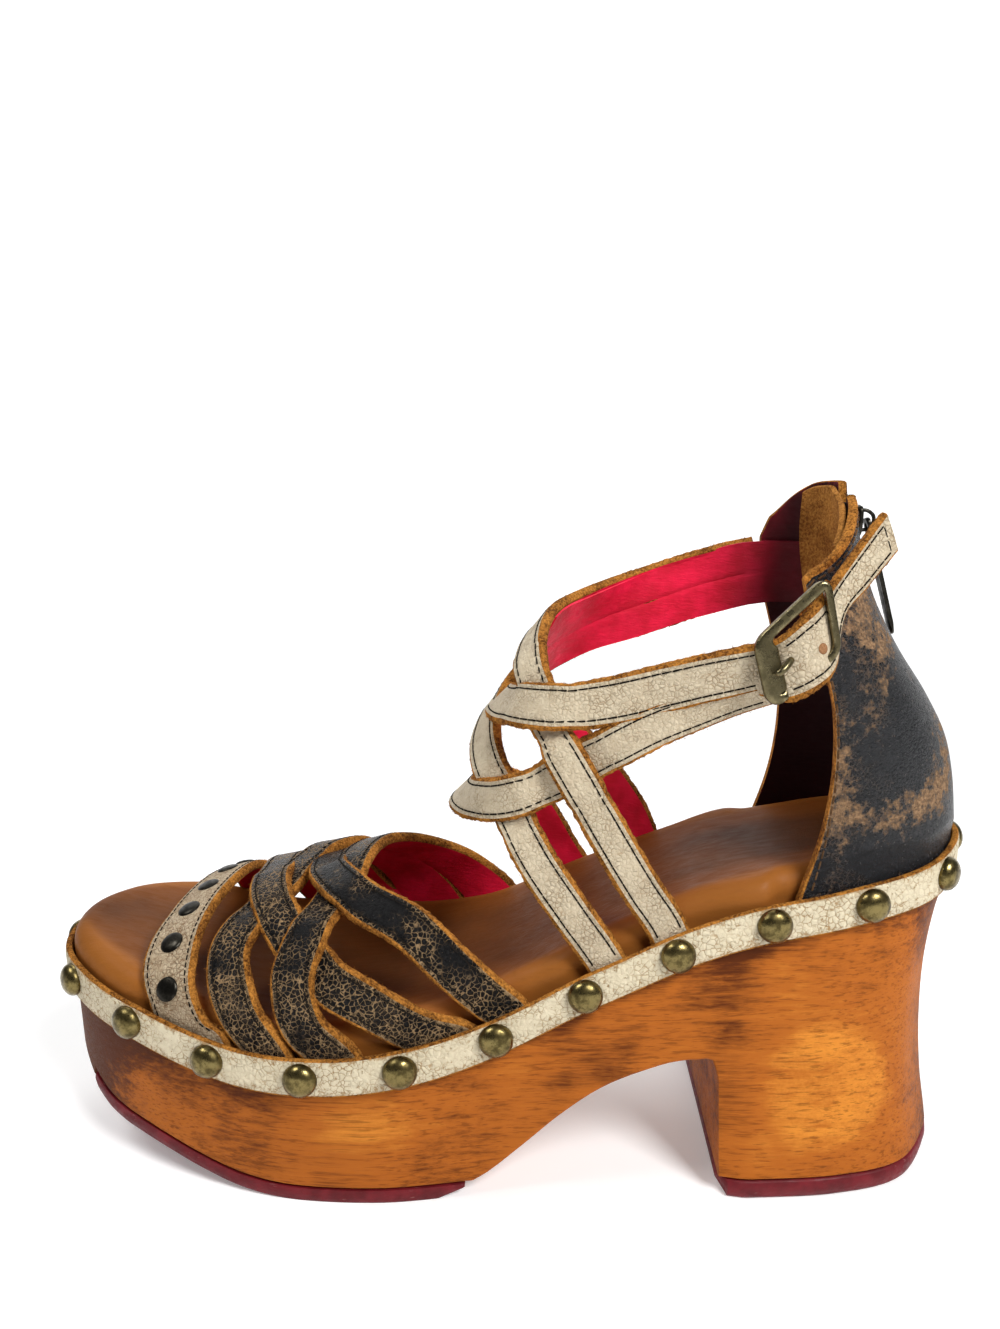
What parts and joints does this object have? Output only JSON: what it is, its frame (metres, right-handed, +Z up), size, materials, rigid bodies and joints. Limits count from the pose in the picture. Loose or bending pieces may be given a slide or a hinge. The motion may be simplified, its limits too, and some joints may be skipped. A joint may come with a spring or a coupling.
{
  "type": "platform clog sandal",
  "caption": "Left platform clog sandal with a wooden sole and block heel, studded rand, woven straps over the foot, buckled ankle strap and zipped heel counter.",
  "frame": {"origin": "on the floor under the middle of the shoe's box", "axes": "+X from toe to heel, -Y to the outer side with the buckle, +Z up"},
  "size_m": [0.2554, 0.0906, 0.1836],
  "materials": {
    "clog_wood": "waxed amber-brown wood",
    "red_rubber": "wine-red rubber",
    "cream_leather": "crackled cream leather",
    "black_leather": "distressed black leather",
    "tan_leather": "burnished tan leather",
    "tan_suede": "rough tan suede",
    "antique_brass": "satin antique brass",
    "dark_metal": "blackened metal",
    "zip_cloth": "black zip tape"
  },
  "bodies": {
    "sandal": {"clog_base": "clog_wood", "forefoot_outsole": "red_rubber", "heel_lift": "red_rubber", "rand": "cream_leather", "rand_stud_01": "antique_brass", "rand_stud_02": "antique_brass", "rand_stud_03": "antique_brass", "rand_stud_04": "antique_brass", "rand_stud_05": "antique_brass", "rand_stud_06": "antique_brass", "rand_stud_07": "antique_brass", "rand_stud_08": "antique_brass", "rand_stud_09": "antique_brass", "rand_stud_10": "antique_brass", "rand_stud_11": "antique_brass", "rand_stud_12": "antique_brass", "rand_stud_13": "antique_brass", "rand_stud_14": "antique_brass", "rand_stud_15": "antique_brass", "rand_stud_16": "antique_brass", "rand_stud_17": "antique_brass", "rand_stud_18": "antique_brass", "rand_stud_19": "antique_brass", "rand_stud_20": "antique_brass", "rand_stud_21": "antique_brass", "rand_stud_22": "antique_brass", "rand_stud_23": "antique_brass", "rand_stud_24": "antique_brass", "insole": "tan_leather", "toe_strap": "cream_leather", "toe_stud_1": "dark_metal", "toe_stud_2": "dark_metal", "toe_stud_3": "dark_metal", "toe_stud_4": "dark_metal", "toe_stud_5": "dark_metal", "toe_stud_6": "dark_metal", "toe_stud_7": "dark_metal", "vamp_straps": "black_leather", "ankle_straps": "cream_leather", "counter_lateral": "black_leather", "counter_medial": "black_leather", "zip_strip": "zip_cloth", "zip_slider": "dark_metal", "zip_guard": "tan_suede", "buckle_frame": "antique_brass", "buckle_prong": "antique_brass", "buckle_chape": "black_leather"},
    "pull": {"zip_pull": "dark_metal"}
  },
  "joints": [
    {"name": "pull_swing", "type": "hinge", "parent": "sandal", "child": "pull", "pos_m": [0.09515, 0.0007, 0.1735], "axis": [0, -1, 0], "range_deg": [0, 150]}
  ]
}
